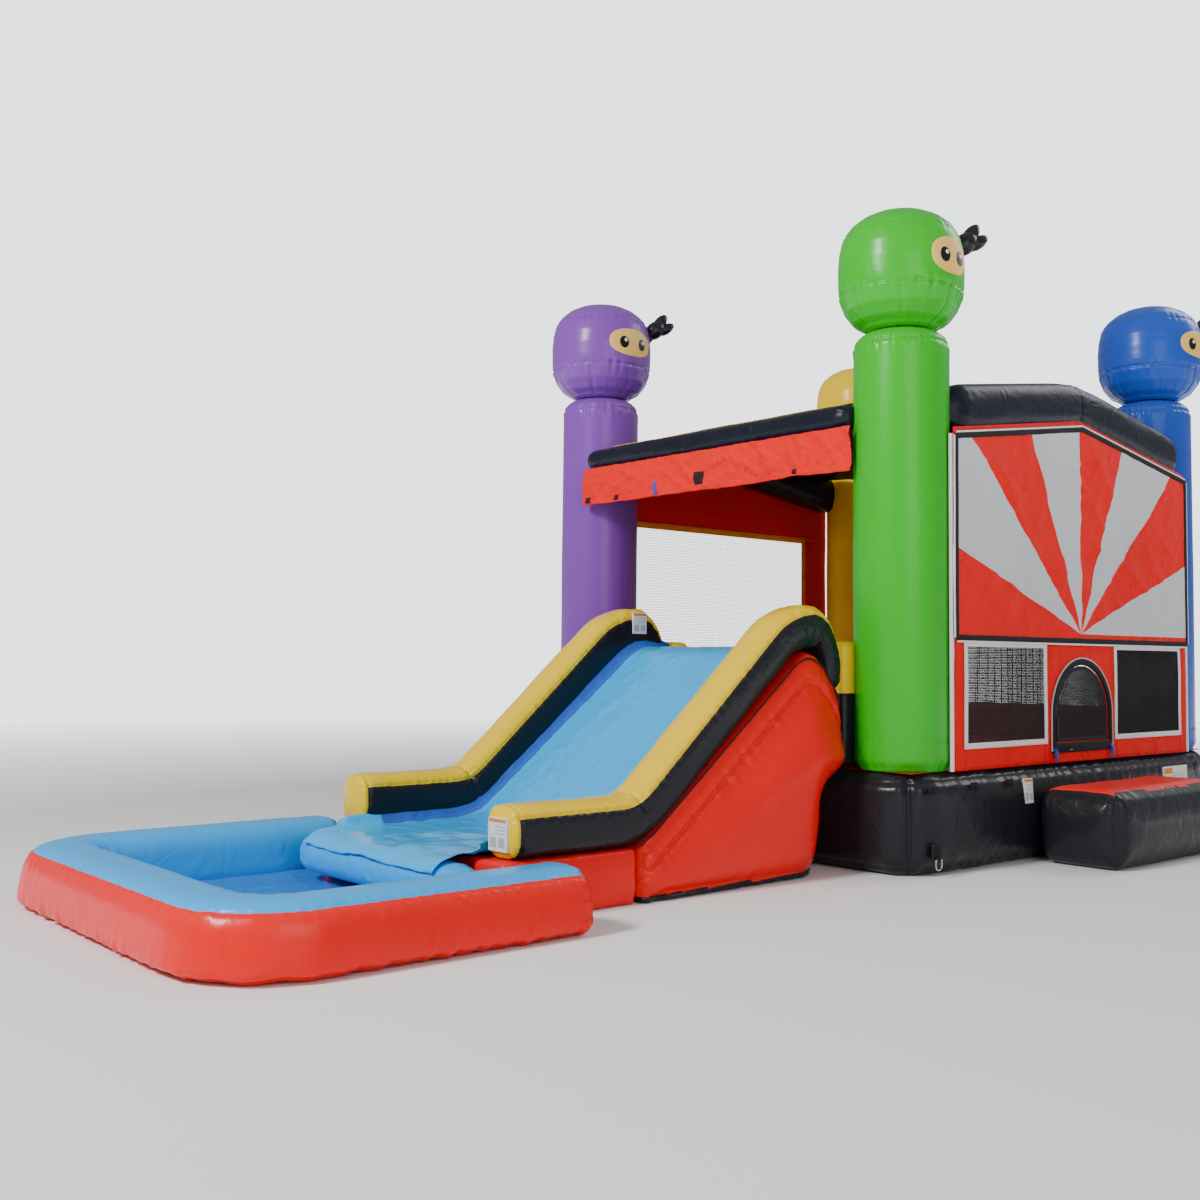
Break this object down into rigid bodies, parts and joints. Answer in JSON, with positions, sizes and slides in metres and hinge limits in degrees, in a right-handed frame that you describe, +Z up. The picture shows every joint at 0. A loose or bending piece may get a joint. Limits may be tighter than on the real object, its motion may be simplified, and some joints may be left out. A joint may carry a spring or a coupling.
{
  "type": "inflatable bounce house",
  "caption": "Inflatable bounce house with round hooded pillar heads, peaked roof, arched entrance, side slide between padded rails and a splash pool.",
  "frame": {"origin": "on the ground, under the middle of the whole object", "axes": "+Z up, +X the way the entrance faces, the slide and pool run out along -Y"},
  "size_m": [4.537, 8.85, 4.289],
  "materials": {
    "black_vinyl": "satin",
    "navy_vinyl": "satin",
    "red_vinyl": "gloss",
    "red_fabric": "matte",
    "green_vinyl": "gloss",
    "purple_vinyl": "gloss",
    "blue_vinyl": "gloss",
    "yellow_vinyl": "gloss",
    "sky_vinyl": "gloss",
    "pool_blue": "gloss",
    "tan_vinyl": "satin",
    "white_fabric": "matte",
    "mesh": "matte",
    "orange_binding": "matte",
    "blue_webbing": "matte",
    "black_webbing": "matte",
    "steel": "satin"
  },
  "bodies": {
    "castle": {"base_shell": "black_vinyl", "base_baffles": "black_vinyl", "jump_floor": "red_vinyl", "pillar_green": "green_vinyl", "pillar_purple": "purple_vinyl", "pillar_blue": "blue_vinyl", "pillar_yellow": "yellow_vinyl", "head_green": "green_vinyl", "head_purple": "purple_vinyl", "head_blue": "blue_vinyl", "head_yellow": "yellow_vinyl", "hood_tails": "black_vinyl", "eye_patches": "tan_vinyl", "beam_entrance": "navy_vinyl", "beam_rear": "navy_vinyl", "beam_slide": "navy_vinyl", "beam_back": "navy_vinyl", "roof_panel_slide": "navy_vinyl", "roof_panel_back": "navy_vinyl", "entrance_wall": "red_fabric", "art_panel": "white_fabric", "window_meshes": "mesh", "window_trims": "white_fabric", "door_trim": "black_webbing", "door_straps": "blue_webbing", "rear_wall": "red_fabric", "rear_mesh": "mesh", "back_wall": "red_fabric", "back_mesh": "mesh", "mesh_trims": "orange_binding", "valance": "red_fabric", "valance_tabs": "black_webbing", "step_block": "black_vinyl", "step_top": "red_vinyl", "slide_ramp_block": "red_vinyl", "slide_foot_block": "red_vinyl", "slide_rail_near": "yellow_vinyl", "slide_rail_far": "yellow_vinyl", "slide_lane": "sky_vinyl", "landing_pad": "sky_vinyl", "opening_posts": "yellow_vinyl", "climb_ramp": "red_vinyl", "climb_steps": "yellow_vinyl", "blank_patches": "white_fabric", "webbing_patches": "black_webbing", "anchor_loops": "black_webbing", "blower_sleeve": "black_vinyl", "sleeve_strap": "blue_webbing", "zipper_track": "black_webbing"},
    "door_flap": {"door_flap": "mesh"},
    "pool": {"pool_wall_near": "red_vinyl", "pool_wall_far": "red_vinyl", "pool_wall_end": "red_vinyl", "pool_floor": "pool_blue"},
    "anchor_ring_a": {"anchor_ring_a": "steel"},
    "anchor_ring_b": {"anchor_ring_b": "steel"},
    "anchor_ring_c": {"anchor_ring_c": "steel"},
    "anchor_ring_d": {"anchor_ring_d": "steel"},
    "zipper_slider": {"zipper_slider": "steel"}
  },
  "joints": [
    {"name": "door_flap_swing", "type": "hinge", "parent": "castle", "child": "door_flap", "pos_m": [1.579, 1.587, 0.865], "axis": [0, 0, -1], "range_deg": [0, 110]},
    {"name": "pool_slide_off", "type": "slide", "parent": "castle", "child": "pool", "axis": [0, -1, 0], "range_m": [0, 0.6]},
    {"name": "ring_swing_a", "type": "hinge", "parent": "castle", "child": "anchor_ring_a", "pos_m": [1.6305, 0.145, 0.112], "axis": [0, -1, 0], "range_deg": [0, 150]},
    {"name": "ring_swing_b", "type": "hinge", "parent": "castle", "child": "anchor_ring_b", "pos_m": [1.6305, 3.785, 0.112], "axis": [0, -1, 0], "range_deg": [0, 150]},
    {"name": "ring_swing_c", "type": "hinge", "parent": "castle", "child": "anchor_ring_c", "pos_m": [-2.2535, 0.145, 0.112], "axis": [0, 1, 0], "range_deg": [0, 150]},
    {"name": "ring_swing_d", "type": "hinge", "parent": "castle", "child": "anchor_ring_d", "pos_m": [-2.2535, 3.785, 0.112], "axis": [0, 1, 0], "range_deg": [0, 150]},
    {"name": "zipper_pull", "type": "slide", "parent": "castle", "child": "zipper_slider", "axis": [1, 0, 0], "range_m": [0, 0.7]}
  ]
}
